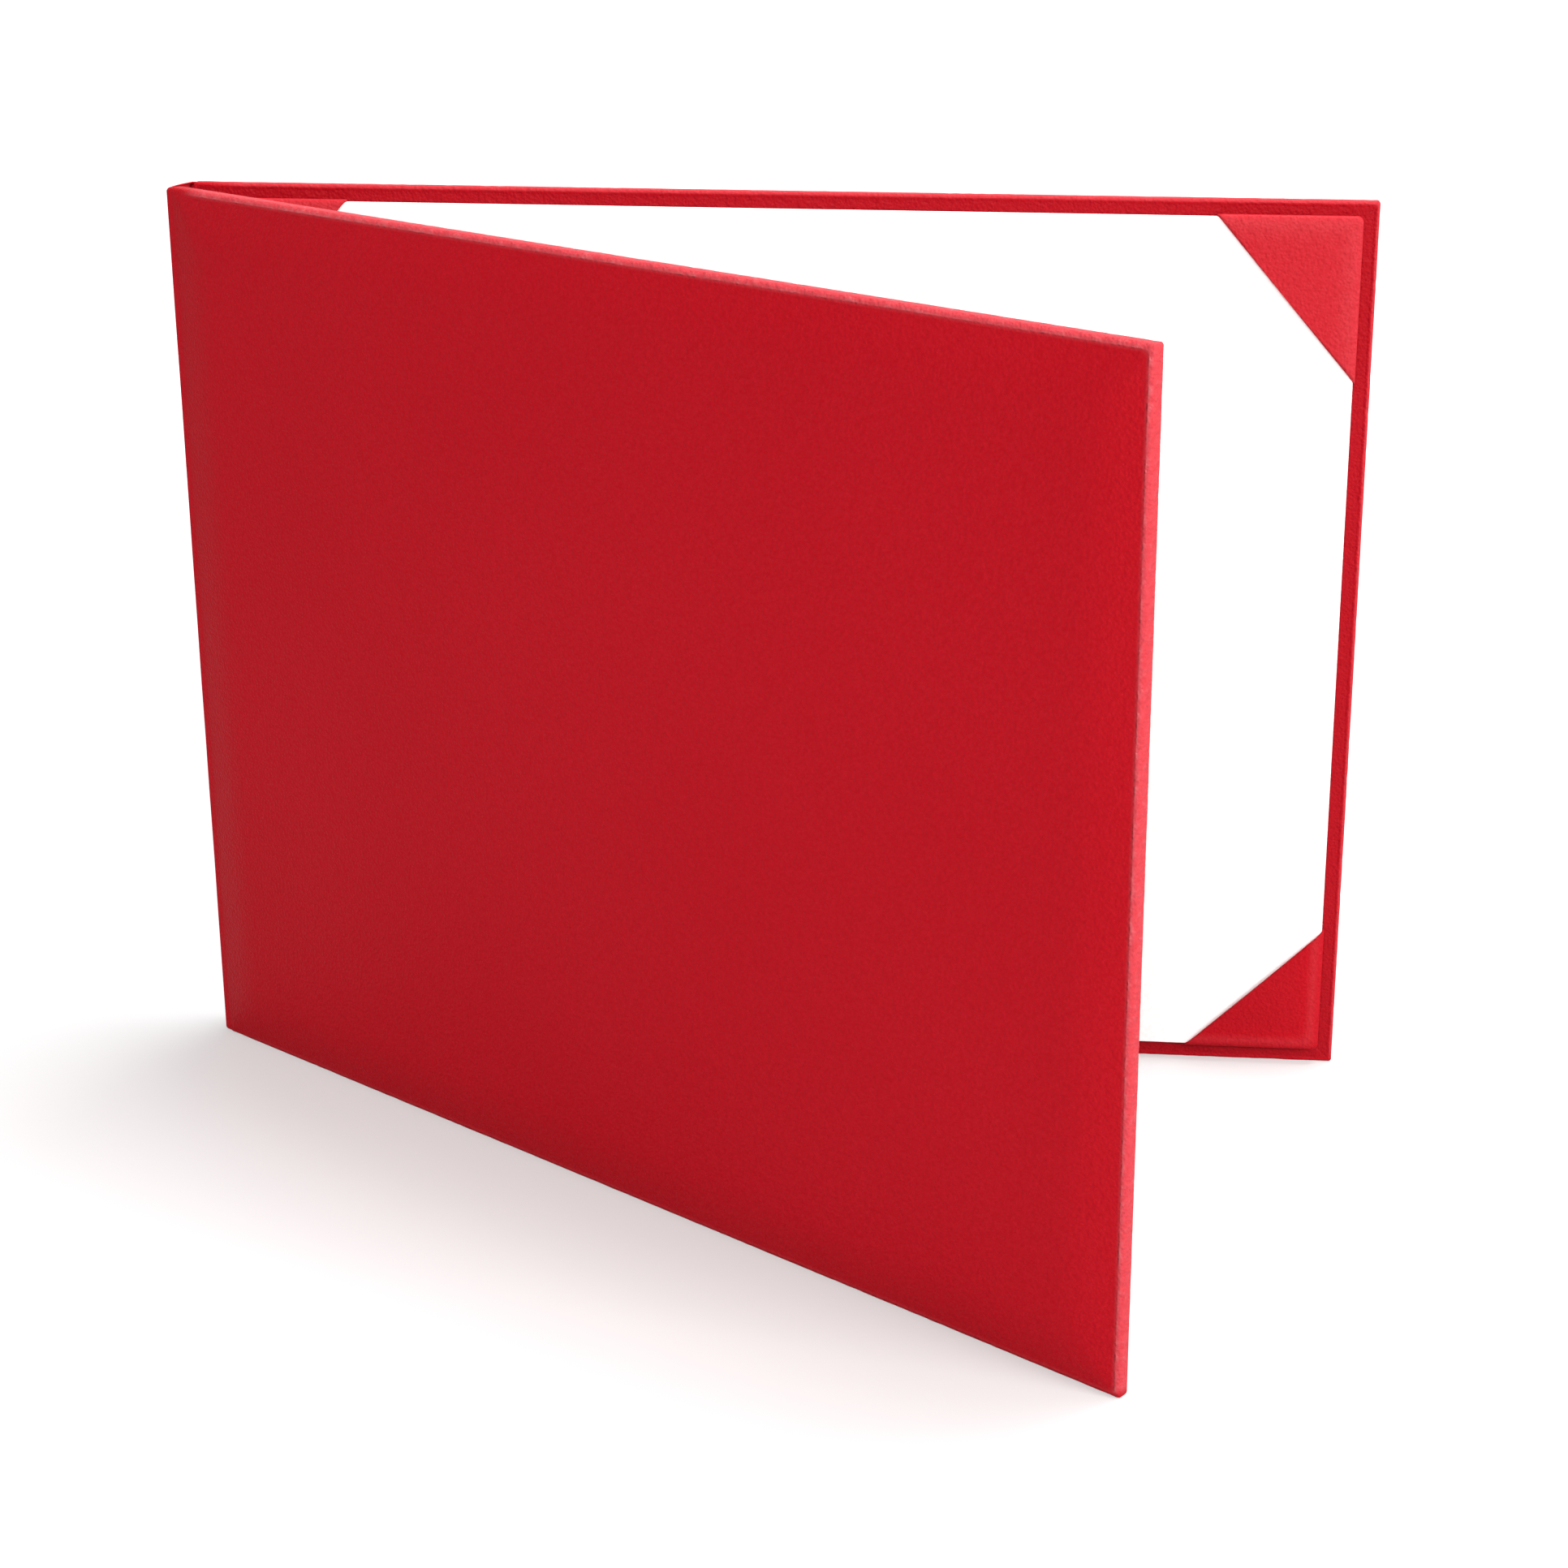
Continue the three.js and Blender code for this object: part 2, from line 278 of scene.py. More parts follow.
class NodeSheet:
    """A material's node tree, with short ways to add and join its nodes."""

    def __init__(self, name: str) -> None:
        """Starts a material that has only its shader and output.

        Args:
            name: The material's name.
        """
        self.material = bpy.data.materials.new(name)
        self.material.use_nodes = True
        self.tree = self.material.node_tree
        self.shader = self.tree.nodes["Principled BSDF"]
        self.place = self.add("ShaderNodeTexCoord").outputs["Object"]

    def add(self, kind: str, **values: object) -> bpy.types.Node:
        """Adds a node and sets its inputs by name.

        Args:
            kind: The node's type name.
            **values: Input values, with underscores for spaces.

        Returns:
            The node.
        """
        node = self.tree.nodes.new(kind)
        for key, value in values.items():
            node.inputs[key.replace("_", " ")].default_value = value
        return node

    def join(self, source: Socket, target: Socket) -> None:
        """Links an output to an input."""
        self.tree.links.new(source, target)

    def painted(self, name: str) -> Socket:
        """Reads a value that is stored on the mesh's vertices.

        Args:
            name: The attribute's name.

        Returns:
            The value.
        """
        node = self.add("ShaderNodeAttribute")
        node.attribute_name = name
        return node.outputs["Fac"]

    def product(self, first: Socket, second: Socket) -> Socket:
        """Multiplies two values.

        Args:
            first: One value.
            second: The other.

        Returns:
            Their product.
        """
        node = self.add("ShaderNodeMath")
        node.operation = "MULTIPLY"
        self.join(first, node.inputs[0])
        self.join(second, node.inputs[1])
        return node.outputs[0]

    def below_zero(self, source: Socket) -> Socket:
        """Measures how far a value lies below zero.

        Args:
            source: The value.

        Returns:
            The distance, from 0 to 1.
        """
        node = self.add("ShaderNodeMath")
        node.operation = "MULTIPLY"
        node.use_clamp = True
        node.inputs[1].default_value = -1.0
        self.join(source, node.inputs[0])
        return node.outputs[0]

    def blended(self, share: Socket, first: Socket, second: Colour) -> Socket:
        """Mixes a colour towards a plain one.

        Args:
            share: Share of the plain colour.
            first: The colour that it starts from.
            second: The plain colour.

        Returns:
            The mixed colour.
        """
        node = self.add("ShaderNodeMix")
        node.data_type = "RGBA"
        inputs = {socket.identifier: socket for socket in node.inputs}
        inputs["B_Color"].default_value = (*second, 1.0)
        self.join(share, inputs["Factor_Float"])
        self.join(first, inputs["A_Color"])
        return next(socket for socket in node.outputs if socket.identifier == "Result_Color")

    def speckle(self, scale: float, detail: float) -> Socket:
        """Adds a noise in object space, so that it stays with the piece when it moves.

        Args:
            scale: Its fineness per metre.
            detail: Its octaves.

        Returns:
            The noise's value.
        """
        node = self.add("ShaderNodeTexNoise", Scale=scale, Detail=detail)
        self.join(self.place, node.inputs["Vector"])
        return node.outputs["Fac"]

    def cells(self, scale: float) -> Socket:
        """Scatters rounded pebbles of grain.

        Args:
            scale: Their number per metre.

        Returns:
            The distance to the nearest pebble.
        """
        node = self.add("ShaderNodeTexVoronoi", Scale=scale)
        node.feature = "SMOOTH_F1"
        self.join(self.place, node.inputs["Vector"])
        return node.outputs["Distance"]

    def ramp(self, source: Socket, stops: Pair, dark: Colour, light: Colour) -> Socket:
        """Turns a value into a colour.

        Args:
            source: The value.
            stops: The values at which the colour is dark and light.
            dark: Colour at the first stop.
            light: Colour at the second.

        Returns:
            The colour.
        """
        node = self.add("ShaderNodeValToRGB")
        for element, position, colour in zip(node.color_ramp.elements, stops, (dark, light)):
            element.position = position
            element.color = (*colour, 1.0)
        self.join(source, node.inputs["Fac"])
        return node.outputs["Color"]

    def spread(self, source: Socket, low: float, high: float, span: Pair = (0.3, 0.7)) -> Socket:
        """Maps a value from one range to another.

        Args:
            source: The value.
            low: Result at the span's start.
            high: Result at its end.
            span: The range to read, as a rule the middle of a noise's own range.

        Returns:
            The mapped value.
        """
        node = self.add("ShaderNodeMapRange")
        node.inputs["From Min"].default_value, node.inputs["From Max"].default_value = span
        node.inputs["To Min"].default_value = low
        node.inputs["To Max"].default_value = high
        self.join(source, node.inputs["Value"])
        return node.outputs["Result"]

    def relief(self, layers: list[tuple[Socket, float, float]]) -> None:
        """Stacks bumps under the shader.

        Args:
            layers: The height, strength and depth in metres of each bump.
        """
        below = None
        for height, strength, depth in layers:
            bump = self.add("ShaderNodeBump", Strength=strength, Distance=depth)
            self.join(height, bump.inputs["Height"])
            if below is not None:
                self.join(below, bump.inputs["Normal"])
            below = bump.outputs["Normal"]
        self.join(below, self.shader.inputs["Normal"])


@dataclass(frozen=True)
class Leatherette:
    """Imitation leather with a fine pebbled grain, crinkled over its edges, with painted highlights and
    painted shade.

    Attributes:
        name: The material's name.
        dark: Colour in the grain's hollows.
        light: Colour on its pebbles.
        painted_highlight: Painted highlight colour, for the lamps' light on the edges.
        painted_shade: Painted shade colour, for the turn-ins and the tail pockets' faces.
        pores: Fineness per metre and octaves of a noise, as in grain, clouds and crinkles.
        pebbles_per_metre: Fineness of the pebbles.
        grain_tone: Tones that the grain spreads over, as in cloud_tone and pebble_tone.
        tone_stops: Tones that show as dark and as light.
        highlight_share: Least and greatest share of the painted highlight colour.
        roughness: Lowest and highest roughness.
        specular: Specular level of plain leatherette and of a sharp crinkle.
        specular_span: Crinkle heights between which that level rises.
        crinkle_bump: Strength and depth in metres of a relief, as in the other bumps.
    """

    name: str = "red_leatherette"
    dark: Colour = (0.38, 0.0036, 0.0095)
    light: Colour = (0.43, 0.0066, 0.0138)
    # A painted highlight colour for the lamps' light on the edges, then a painted shade colour for the
    # turn-ins and tail pockets.
    painted_highlight: Colour = (0.52, 0.048, 0.06)
    painted_shade: Colour = (0.3, 0.0045, 0.0095)
    pores: Pair = (4200.0, 2.0)
    grain: Pair = (900.0, 3.0)
    clouds: Pair = (14.0, 1.0)
    crinkles: Pair = (520.0, 3.0)
    pebbles_per_metre: float = 1500.0
    grain_tone: Pair = (0.55, 1.0)
    cloud_tone: Pair = (0.8, 1.0)
    pebble_tone: Pair = (1.0, 0.65)
    tone_stops: Pair = (0.4, 1.0)
    highlight_share: Pair = (0.7, 1.0)
    roughness: Pair = (0.4, 0.5)
    specular: Pair = (0.05, 0.7)
    specular_span: Pair = (0.6, 0.95)
    crinkle_bump: Pair = (0.8, 0.0005)
    pebble_bump: Pair = (0.9, 0.00023)
    grain_bump: Pair = (0.6, 0.00014)
    pore_bump: Pair = (0.3, 0.00005)

    def build(self) -> bpy.types.Material:
        """Makes the material.

        Returns:
            The material.
        """
        sheet = NodeSheet(self.name)
        inputs = sheet.shader.inputs
        pores = sheet.speckle(*self.pores)
        grain = sheet.speckle(*self.grain)
        clouds = sheet.speckle(*self.clouds)
        pebbles = sheet.cells(self.pebbles_per_metre)
        painted_light = sheet.painted(PAINTED_LIGHT)
        crinkle = sheet.product(painted_light, sheet.speckle(*self.crinkles))
        tone = sheet.product(sheet.spread(grain, *self.grain_tone), sheet.spread(clouds, *self.cloud_tone))
        tone = sheet.product(tone, sheet.spread(pebbles, *self.pebble_tone))
        colour = sheet.ramp(tone, self.tone_stops, self.dark, self.light)
        # Painted highlight where the mask is above 0, painted shade where it is below 0.
        pale = sheet.product(painted_light, sheet.spread(grain, *self.highlight_share))
        colour = sheet.blended(pale, colour, self.painted_highlight)
        colour = sheet.blended(sheet.below_zero(painted_light), colour, self.painted_shade)
        sheet.join(colour, inputs["Base Color"])
        sheet.join(sheet.spread(grain, *self.roughness), inputs["Roughness"])
        sheet.join(sheet.spread(crinkle, *self.specular, self.specular_span), inputs["Specular IOR Level"])
        sheet.relief(
            [
                (crinkle, *self.crinkle_bump),
                (pebbles, *self.pebble_bump),
                (grain, *self.grain_bump),
                (pores, *self.pore_bump),
            ]
        )
        return sheet.material


@dataclass(frozen=True)
class LiningPaper:
    """Plain red endpaper with a fine embossed linen grain.

    Attributes:
        name: The material's name.
        dark: Colour of the fibres.
        light: Colour between them.
        fibres: Fineness per metre and octaves of the fibres.
        fibre_stops: Fibre heights that show as dark and as light.
        roughness: Lowest and highest roughness.
        specular: Specular level.
        threads_per_metre: Fineness of the embossed threads.
        thread_wander: How unevenly they run.
        thread_bump: Strength and depth in metres of a relief, as in fibre_bump.
    """

    name: str = "red_lining_paper"
    dark: Colour = (0.33, 0.004, 0.009)
    light: Colour = (0.4, 0.007, 0.014)
    fibres: Pair = (700.0, 3.0)
    fibre_stops: Pair = (0.35, 0.65)
    roughness: Pair = (0.6, 0.72)
    specular: float = 0.12
    threads_per_metre: float = 330.0
    thread_wander: float = 1.2
    thread_bump: Pair = (0.25, 0.00008)
    fibre_bump: Pair = (0.2, 0.00006)

    def build(self) -> bpy.types.Material:
        """Makes the material.

        Returns:
            The material.
        """
        sheet = NodeSheet(self.name)
        inputs = sheet.shader.inputs
        fibres = sheet.speckle(*self.fibres)
        sheet.join(sheet.ramp(fibres, self.fibre_stops, self.dark, self.light), inputs["Base Color"])
        sheet.join(sheet.spread(fibres, *self.roughness), inputs["Roughness"])
        inputs["Specular IOR Level"].default_value = self.specular
        threads = []
        for direction in ("X", "Z"):
            wave = sheet.add("ShaderNodeTexWave", Scale=self.threads_per_metre, Distortion=self.thread_wander)
            wave.bands_direction = direction
            sheet.join(sheet.place, wave.inputs["Vector"])
            threads.append((wave.outputs["Fac"], *self.thread_bump))
        sheet.relief([*threads, (fibres, *self.fibre_bump)])
        return sheet.material


@dataclass(frozen=True)
class CardStock:
    """Card or board with soft fibres and a few specks.

    Attributes:
        name: The material's name.
        dark: Colour of the fibres.
        light: Colour between them.
        roughness: Lowest and highest roughness.
        fibre_depth: Depth of the fibres' relief in metres, and fibre_strength its strength.
        fibres: Fineness per metre and octaves of a noise, as in clouds.
        fibre_stops: Fibre heights that show as dark and as light.
        specular: Specular level.
        cloud_bump: Strength and depth in metres of the clouds' relief.
    """

    name: str
    dark: Colour
    light: Colour
    roughness: Pair
    fibre_depth: float
    fibres: Pair = (1100.0, 4.0)
    clouds: Pair = (35.0, 3.0)
    fibre_stops: Pair = (0.3, 0.6)
    specular: float = 0.3
    cloud_bump: Pair = (0.2, 0.0003)
    fibre_strength: float = 0.3

    def build(self) -> bpy.types.Material:
        """Makes the material.

        Returns:
            The material.
        """
        sheet = NodeSheet(self.name)
        inputs = sheet.shader.inputs
        fibres = sheet.speckle(*self.fibres)
        clouds = sheet.speckle(*self.clouds)
        sheet.join(sheet.ramp(fibres, self.fibre_stops, self.dark, self.light), inputs["Base Color"])
        sheet.join(sheet.spread(clouds, *self.roughness), inputs["Roughness"])
        inputs["Specular IOR Level"].default_value = self.specular
        sheet.relief([(clouds, *self.cloud_bump), (fibres, self.fibre_strength, self.fibre_depth)])
        return sheet.material


WHITE_CARD = CardStock("white_lined_card", (0.9, 0.9, 0.885), (0.95, 0.95, 0.94), (0.45, 0.6), 0.00001)
GREYBOARD = CardStock("pressed_greyboard", (0.22, 0.2, 0.17), (0.42, 0.39, 0.34), (0.8, 0.92), 0.0001)


@dataclass(frozen=True)
class Finishes:
    """The finishes that the cover is made in."""

    leatherette: bpy.types.Material
    lining: bpy.types.Material
    white_card: bpy.types.Material
    greyboard: bpy.types.Material

    @classmethod
    def mixed(cls) -> "Finishes":
        """Builds every finish once."""
        return cls(Leatherette().build(), LiningPaper().build(), WHITE_CARD.build(), GREYBOARD.build())


def dress(piece: bpy.types.Object, material: bpy.types.Material) -> None:
    """Gives a piece or a CAD node one finish."""
    piece.data.materials.clear()
    piece.data.materials.append(material)


@dataclass(frozen=True)
class LoopPoint:
    """One point of a ring round a cover.

    Attributes:
        along: Distance from the hinge line.
        height: Height above the floor.
        away: Unit direction out of the ring, along and up.
        mitre: Whether it is the middle of a corner.
    """

    along: float
    height: float
    away: Pair
    mitre: bool = False


def rounded_loop(
    rect: Rect, radius: float, long_steps: int, short_steps: int, arc_steps: int
) -> list[LoopPoint]:
    """Points round a rectangle with round corners, in an order that every ring shares.

    Args:
        rect: The rectangle.
        radius: Its corner radius.
        long_steps: Steps along the head and the tail.
        short_steps: Steps along the fore edge and the hinge edge.
        arc_steps: Steps round each corner, an even number.

    Returns:
        The ring's points.
    """
    r = min(radius, rect.largest_radius())
    # Each corner's centre, the half turns at which its arc starts, and the steps to the next corner.
    corners = [
        (rect.right - r, rect.bottom + r, -0.5, short_steps),
        (rect.right - r, rect.top - r, 0.0, long_steps),
        (rect.left + r, rect.top - r, 0.5, short_steps),
        (rect.left + r, rect.bottom + r, 1.0, long_steps),
    ]
    loop: list[LoopPoint] = []
    for number, (x, z, start, steps) in enumerate(corners):
        for i in range(arc_steps + 1):
            angle = (start + 0.5 * i / arc_steps) * math.pi
            away = (math.cos(angle), math.sin(angle))
            loop.append(LoopPoint(x + r * away[0], z + r * away[1], away, i == arc_steps // 2))
        last = loop[-1]
        next_x, next_z, _, _ = corners[(number + 1) % len(corners)]
        to_along, to_height = next_x + r * last.away[0], next_z + r * last.away[1]
        for i in range(1, steps):
            share = i / steps
            along = last.along + (to_along - last.along) * share
            loop.append(LoopPoint(along, last.height + (to_height - last.height) * share, last.away))
    return loop


@dataclass
class PaddedCover:
    """One cover's leatherette, drawn tight over foam and board and turned in all round.

    Attributes:
        plane: Where the cover stands.
        width: Hinge line to fore edge.
        height: Tail to head.
        inner: Distance out of the turn-in.
        crest: Distance out of the outside face's middle.
        highlight_most: Painted highlight over the edge.
        painted_shade: Painted shade on the turn-in, as a value below 0.
        joint_gap: Hinge line to the cover's hinge edge.
        leather: Thickness of the leatherette.
        pad_rise: How far the foam rises, over a pad_run in from the edge.
        inner_round: Radius of the fold to the turn-in, and outer_round of the fold to the face.
        corner_radius: Radius of the outline's corners, which grows inwards by corner_softening.
        crease_depth: Depth of the mitre creases.
        swell_height: Height of the face's slow unevenness, and swell_length its wavelength.
        edge_height: The same near the edges, of which edge_share reaches the edge itself.
        wrinkle_height: The same for small wrinkles, which fade inwards by the power wrinkle_fall.
        highlight_run: Distance past the outer fold at which the painted highlight has gone.
        ridge_most: Extra painted highlight on the outer fold, within ridge_run of it, which also raises its
            gloss and crinkles.
        hinge_fade: Start and length of the painted highlight's rise from the hinge, and tail_fade from the
            tail, as both lie in shade.
        round_steps: Steps round each fold.
        loop_steps: Steps of a ring's long side, short side and corner.
        turn_in_insets_mm: Insets of the turn-in's rings, and face_insets_mm of the flat middle's.
        wall_shares: Places of the rings between the folds, and crown_shares over the foam's rise.
    """

    plane: CoverPlane
    width: float
    height: float
    inner: float
    crest: float
    highlight_most: float
    # Painted shade on the turn-ins.
    painted_shade: float = -0.8
    joint_gap: float = 1.3 * MM
    leather: float = 0.45 * MM
    pad_rise: float = 2.1 * MM
    pad_run: float = 15.0 * MM
    inner_round: float = 0.6 * MM
    outer_round: float = 1.1 * MM
    corner_radius: float = 0.7 * MM
    corner_softening: float = 0.35
    crease_depth: float = 0.18 * MM
    swell_height: float = 0.16 * MM
    swell_length: float = 48.0 * MM
    edge_height: float = 0.1 * MM
    edge_length: float = 11.0 * MM
    edge_share: float = 0.5
    wrinkle_height: float = 0.14 * MM
    wrinkle_length: float = 3.2 * MM
    wrinkle_fall: int = 8
    highlight_run: float = 0.35 * MM
    ridge_most: float = 0.5
    ridge_run: float = 0.9 * MM
    hinge_fade: Pair = (6.0 * MM, 6.0 * MM)
    tail_fade: Pair = (0.8 * MM, 1.2 * MM)
    round_steps: int = 6
    loop_steps: tuple[int, int, int] = (180, 140, 8)
    turn_in_insets_mm: tuple[float, ...] = (15.0, 11.0, 7.5, 4.5, 2.6, 1.4)
    wall_shares: tuple[float, ...] = (0.33, 0.66)
    crown_shares: tuple[float, ...] = (
        0.023, 0.06, 0.12, 0.2, 0.28, 0.36, 0.44, 0.52, 0.6, 0.68, 0.76, 0.84, 0.92, 1.0
    )
    face_insets_mm: tuple[float, ...] = (21.0, 27.0, 35.0, 44.0, 54.0, 65.0, 77.0, 89.0, 100.0, 108.0)

    @property
    def outline(self) -> Rect:
        """The board's outline with its leatherette."""
        return Rect(self.joint_gap, self.width, 0.0, self.height)

    def rings(self) -> list[tuple[float, float, Zone]]:
        """The profile from the turn-in's raw edge, round the cover's edge, to its middle.

        Returns:
            Inset, distance out and zone of each ring.
        """
        edge = self.crest - self.pad_rise
        turn = quarter_turn(self.round_steps)
        low, high = self.inner + self.inner_round, edge - self.outer_round
        rings = [(inset * MM, self.inner, Zone.TURN_IN) for inset in self.turn_in_insets_mm]
        rings += [
            (self.inner_round * to_go, self.inner + self.inner_round * gone, Zone.EDGE)
            for gone, to_go in turn
        ]
        rings += [(0.0, low + (high - low) * share, Zone.EDGE) for share in self.wall_shares]
        rings += [
            (self.outer_round * gone, edge - self.outer_round * to_go, Zone.EDGE)
            for gone, to_go in turn
        ]
        for share in self.crown_shares:
            rise = self.pad_rise * math.sin(QUARTER * share)
            rings.append((self.outer_round + self.pad_run * share, edge + rise, Zone.FACE))
        rings += [(inset * MM, self.crest, Zone.FACE) for inset in self.face_insets_mm]
        return rings

    def painted_light(self, inset: float, zone: Zone, point: LoopPoint) -> float:
        """Painted light: a highlight strongest over the outer fold and fading towards the hinge and the tail,
        and painted shade on the turn-in.

        Args:
            inset: The ring's inset.
            zone: Where the ring lies.
            point: A point of the ring.

        Returns:
            The painted light, below 0 where it is painted shade.
        """
        if zone is Zone.TURN_IN:
            return self.painted_shade
        past_fold = inset - self.outer_round
        ring = max(0.0, 1.0 - max(0.0, past_fold) / self.highlight_run)
        ring += self.ridge_most * max(0.0, 1.0 - abs(past_fold) / self.ridge_run)
        # The painted highlight fades out towards the hinge and the tail, where the edges lie in shade.
        from_hinge = risen(point.along, *self.hinge_fade)
        from_tail = risen(point.height, *self.tail_fade)
        return self.highlight_most * ring * from_hinge * from_tail

    def uneven(self, inset: float, zone: Zone, point: LoopPoint) -> Pair:
        """The leatherette's small departures from its plain shape.

        Args:
            inset: The ring's inset.
            zone: Where the ring lies.
            point: A point of the ring.

        Returns:
            How far the point moves out of the cover's plane, and out of its outline.
        """
        seed = UP * SWELL_SEEDS[self.plane.side]
        spot = Vector((point.along, 0.0, point.height))
        near_edge = max(0.0, 1.0 - inset / self.pad_run)
        wave = ripple(spot - seed, self.edge_length, self.edge_height) * near_edge
        wrinkle = ripple(spot + seed, self.wrinkle_length, self.wrinkle_height)
        if zone is Zone.TURN_IN:
            return (self.crease_depth if point.mitre else self.edge_share * wave), 0.0
        if zone is Zone.EDGE:
            return self.edge_share * wave, -abs(wrinkle)
        swell = ripple(spot + seed, self.swell_length, self.swell_height) * min(1.0, inset / self.pad_run)
        return swell + wave + wrinkle * near_edge**self.wrinkle_fall, 0.0

    def skin(self) -> bpy.types.Object:
        """Builds the leatherette.

        Returns:
            The piece, with its thickness.
        """
        rows = []
        painted_light = []
        for inset, out, zone in self.rings():
            radius = self.corner_radius + self.corner_softening * inset
            loop = rounded_loop(self.outline.drawn_in(inset), radius, *self.loop_steps)
            row = []
            for point in loop:
                lift, spread = self.uneven(inset, zone, point)
                along = point.along + point.away[0] * spread
                height = point.height + point.away[1] * spread
                row.append(self.plane.place(along, out + lift, height))
            rows.append(row)
            painted_light += [self.painted_light(inset, zone, point) for point in loop]
        points, faces = skin_rings(rows, closed=True, capped=True)
        piece = link_mesh(f"{self.plane.word}_padded_leatherette", points, faces, painted_light)
        face_towards(piece, self.plane.out)
        thicken(piece, self.leather, -1.0)
        return piece

    def build(self, finishes: Finishes) -> None:
        """Makes the leatherette, dresses it and sets it on its body.

        Args:
            finishes: The finishes to choose from.
        """
        side = self.plane.word
        piece = self.skin()
        dress(piece, finishes.leatherette)
        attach(piece, self.plane.side.value)
        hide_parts(f"{side}_wrap", f"{side}_pad")
        log.info("%s rides on %s", piece.name, self.plane.side.value)


@dataclass
class SoftSpine:
    """The leatherette between the covers, in two halves that each bend over one hinge line.

    Attributes:
        planes: Where both covers stand.
        height: Tail to head.
        leather: Thickness of the leatherette.
        bow: How far the spine's middle stands out.
        lap: How far each half runs in under a cover.
        end_gap: How far the ends stay short of the covers' head and tail.
        end_round: Radius at which the ends turn in.
        bend: Distance from a hinge line at which the bend starts and ends; not used.
        ripple_height: Height of the unevenness, and ripple_length its wavelength.
        bow_steps: Steps from the middle to a hinge line, and lap_steps along the lap.
        smoothings: How many times the path's corners are cut.
        end_steps: Steps round each end, and body_steps between them.
    """

    planes: dict[Side, CoverPlane]
    height: float
    leather: float = 0.45 * MM
    bow: float = 0.6 * MM
    lap: float = 3.0 * MM
    end_gap: float = 0.4 * MM
    end_round: float = 0.8 * MM
    bend: float = 1.1 * MM
    ripple_height: float = 0.06 * MM
    ripple_length: float = 20.0 * MM
    bow_steps: int = 12
    lap_steps: int = 6
    smoothings: int = 2
    end_steps: int = 4
    body_steps: int = 30

    def middle(self) -> Vector:
        """The foot of the spine's middle line, before it bows out."""
        return (self.planes[Side.BACK].foot + self.planes[Side.FRONT].foot) / 2.0

    def outside(self) -> Vector:
        """Unit direction out of the spine."""
        across = (self.planes[Side.FRONT].foot - self.planes[Side.BACK].foot).normalized()
        return Vector((across.y, -across.x, 0.0))

    def path(self, plane: CoverPlane) -> list[Vector]:
        """The leatherette's middle line in plan, from the spine's middle on to one cover.

        Args:
            plane: The cover that this half runs on to.

        Returns:
            Points with their fold rounded off.
        """
        middle, outside = self.middle(), self.outside()
        line = []
        for i in range(self.bow_steps + 1):
            share = i / self.bow_steps
            line.append(middle.lerp(plane.foot, share) + outside * self.bow * math.cos(QUARTER * share))
        for i in range(self.lap_steps):
            line.append(plane.foot + plane.along * (self.lap * (i + 1) / self.lap_steps))
        for _ in range(self.smoothings):
            cut = [line[0]]
            for a, b in zip(line, line[1:]):
                cut += [a.lerp(b, 0.25), a.lerp(b, 0.75)]
            line = [*cut, line[-1]]
        return line

    def normals(self, line: list[Vector]) -> list[Vector]:
        """Finds which way the leatherette faces along its path.

        Args:
            line: Points of the path.

        Returns:
            A unit direction out of the leatherette for each point.
        """
        outside = self.outside()
        found: list[Vector] = []
        for i in range(len(line)):
            tangent = line[min(i + 1, len(line) - 1)] - line[max(i - 1, 0)]
            normal = Vector((tangent.y, -tangent.x, 0.0)).normalized()
            outwards = normal.dot(outside) > 0.0 or (bool(found) and normal.dot(found[-1]) > 0.0)
            found.append(normal if outwards else -normal)
        return found

    def stations(self) -> list[Pair]:
        """Lays out the spine's rows from tail to head.

        Returns:
            Each row's height and how far it is turned in.
        """
        low, high = self.end_gap, self.height - self.end_gap
        turn = quarter_turn(self.end_steps)
        first, last = low + 2 * self.end_round, high - 2 * self.end_round
        stations = [(low + self.end_round * gone, self.end_round * to_go) for gone, to_go in turn]
        stations += [
            (first + (last - first) * i / self.body_steps, 0.0) for i in range(self.body_steps + 1)
        ]
        stations += [(high - self.end_round * gone, self.end_round * to_go) for gone, to_go in reversed(turn)]
        return stations

    def half(self, plane: CoverPlane) -> bpy.types.Object:
        """Builds one half of the spine.

        Args:
            plane: The cover that this half runs on to.

        Returns:
            The half's leatherette.
        """
        line = self.path(plane)
        rows = []
        for height, sunk in self.stations():
            row = []
            for point, normal in zip(line, self.normals(line)):
                lift = ripple(point + UP * height, self.ripple_length, self.ripple_height)
                row.append(point - normal * sunk + UP * height + normal * lift)
            rows.append(row)
        points, faces = skin_rings(rows, closed=False, capped=False)
        piece = link_mesh(f"spine_leatherette_{plane.word}", points, faces)
        face_towards(piece, self.outside())
        thicken(piece, self.leather, 0.0)
        return piece

    def build(self, finishes: Finishes) -> None:
        """Makes both halves and bends each over its hinge line.

        Args:
            finishes: The finishes to choose from.
        """
        for plane in self.planes.values():
            piece = self.half(plane)
            dress(piece, finishes.leatherette)
            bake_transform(piece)
            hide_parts("spine_wrap")
            log.info("%s bends between spine and %s", piece.name, plane.side.value)


